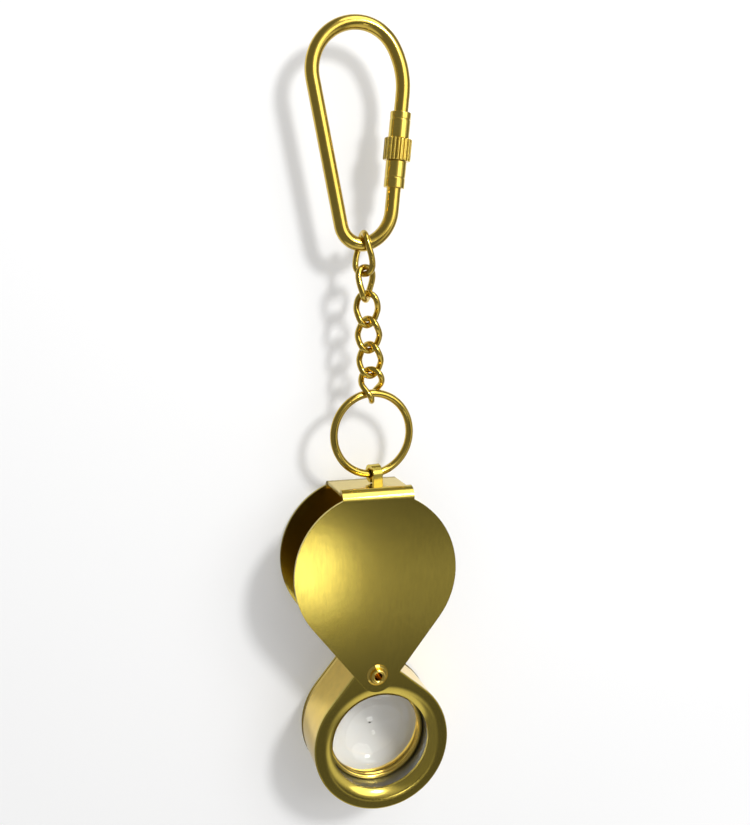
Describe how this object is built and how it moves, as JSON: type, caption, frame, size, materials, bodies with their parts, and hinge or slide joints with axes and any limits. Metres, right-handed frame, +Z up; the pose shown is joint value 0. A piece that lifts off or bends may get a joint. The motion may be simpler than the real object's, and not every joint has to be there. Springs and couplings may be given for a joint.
{
  "type": "folding hand lens",
  "caption": "Folding magnifier: a round lens in a pear-shaped drum that swings out of a brass sheet case, hung on a short curb chain from a screw-lock key ring.",
  "frame": {"origin": "the hang point: the inside of the top of the key ring, on its middle plane", "axes": "+Z up along the hanging length, -Y the front of the case, +X to the right seen from the front"},
  "size_m": [0.037, 0.0189, 0.1759],
  "materials": {
    "satin_brass": "satin, finely brushed",
    "polished_brass": "polished",
    "wire_brass": "bright drawn wire",
    "bore_steel": "smooth, dark",
    "lens_glass": "clear, polished"
  },
  "bodies": {
    "key_ring": {"key_ring_rod": "wire_brass", "lock_ferrule": "polished_brass", "lock_stud": "polished_brass"},
    "lock_sleeve": {"lock_sleeve": "polished_brass"},
    "lock_collar": {"lock_collar": "polished_brass"},
    "link_1": {"chain_link_1": "wire_brass"},
    "link_2": {"chain_link_2": "wire_brass"},
    "link_3": {"chain_link_3": "wire_brass"},
    "link_4": {"chain_link_4": "wire_brass"},
    "link_5": {"chain_link_5": "wire_brass"},
    "link_6": {"chain_link_6": "wire_brass"},
    "jump_ring": {"jump_ring": "wire_brass"},
    "case": {"front_cover": "satin_brass", "back_cover": "satin_brass", "pivot_rivet": "polished_brass", "rivet_washer": "polished_brass", "front_friction_washer": "satin_brass", "rear_friction_washer": "satin_brass"},
    "drum": {"drum_front_plate": "satin_brass", "drum_wall": "polished_brass", "drum_back_plate": "satin_brass", "pivot_bearing": "satin_brass", "lens_tube": "bore_steel", "lens": "lens_glass", "front_retaining_ring": "polished_brass", "rear_retaining_ring": "polished_brass", "front_snap_ring": "polished_brass", "rear_snap_ring": "polished_brass"}
  },
  "joints": [
    {"name": "lock_travel", "type": "slide", "parent": "key_ring", "child": "lock_sleeve", "axis": [-0.1011, 0, -0.9949], "range_m": [0, 0.0032]},
    {"name": "lock_turn", "type": "hinge", "parent": "lock_sleeve", "child": "lock_collar", "pos_m": [0.0088, 0, -0.02265], "axis": [-0.1011, 0, -0.9949], "continuous": true},
    {"name": "link_1_swing", "type": "hinge", "parent": "key_ring", "child": "link_1", "pos_m": [0.00101, 0, -0.04435], "axis": [1, 0, 0], "range_deg": [-60, 60]},
    {"name": "link_2_swing", "type": "hinge", "parent": "link_1", "child": "link_2", "pos_m": [0.00101, 0, -0.05073], "axis": [0.6428, -0.766, 0], "range_deg": [-40, 40]},
    {"name": "link_3_swing", "type": "hinge", "parent": "link_2", "child": "link_3", "pos_m": [0.00136, 0, -0.05632], "axis": [-0.5, -0.866, 0], "range_deg": [-40, 40]},
    {"name": "link_4_swing", "type": "hinge", "parent": "link_3", "child": "link_4", "pos_m": [0.00198, 0, -0.06039], "axis": [0.5, -0.866, 0], "range_deg": [-35, 35]},
    {"name": "link_5_swing", "type": "hinge", "parent": "link_4", "child": "link_5", "pos_m": [0.00198, 0, -0.0675], "axis": [-0.9063, -0.4226, 0], "range_deg": [-35, 35]},
    {"name": "link_6_swing", "type": "hinge", "parent": "link_5", "child": "link_6", "pos_m": [0.0026, 0, -0.07157], "axis": [0.766, -0.6428, 0], "range_deg": [-16, 36]},
    {"name": "jump_ring_swing", "type": "hinge", "parent": "link_6", "child": "jump_ring", "pos_m": [0.0027, 0, -0.07697], "axis": [0.9925, 0.1219, 0], "range_deg": [-38, 45]},
    {"name": "case_swing", "type": "hinge", "parent": "jump_ring", "child": "case", "pos_m": [0.0027, 0, -0.09521], "axis": [-0.9925, -0.1219, 0], "range_deg": [-80, 80]},
    {"name": "lens_swing", "type": "hinge", "parent": "case", "child": "drum", "pos_m": [0.0015, 0.001, -0.13966], "axis": [0, 1, 0], "continuous": true}
  ]
}
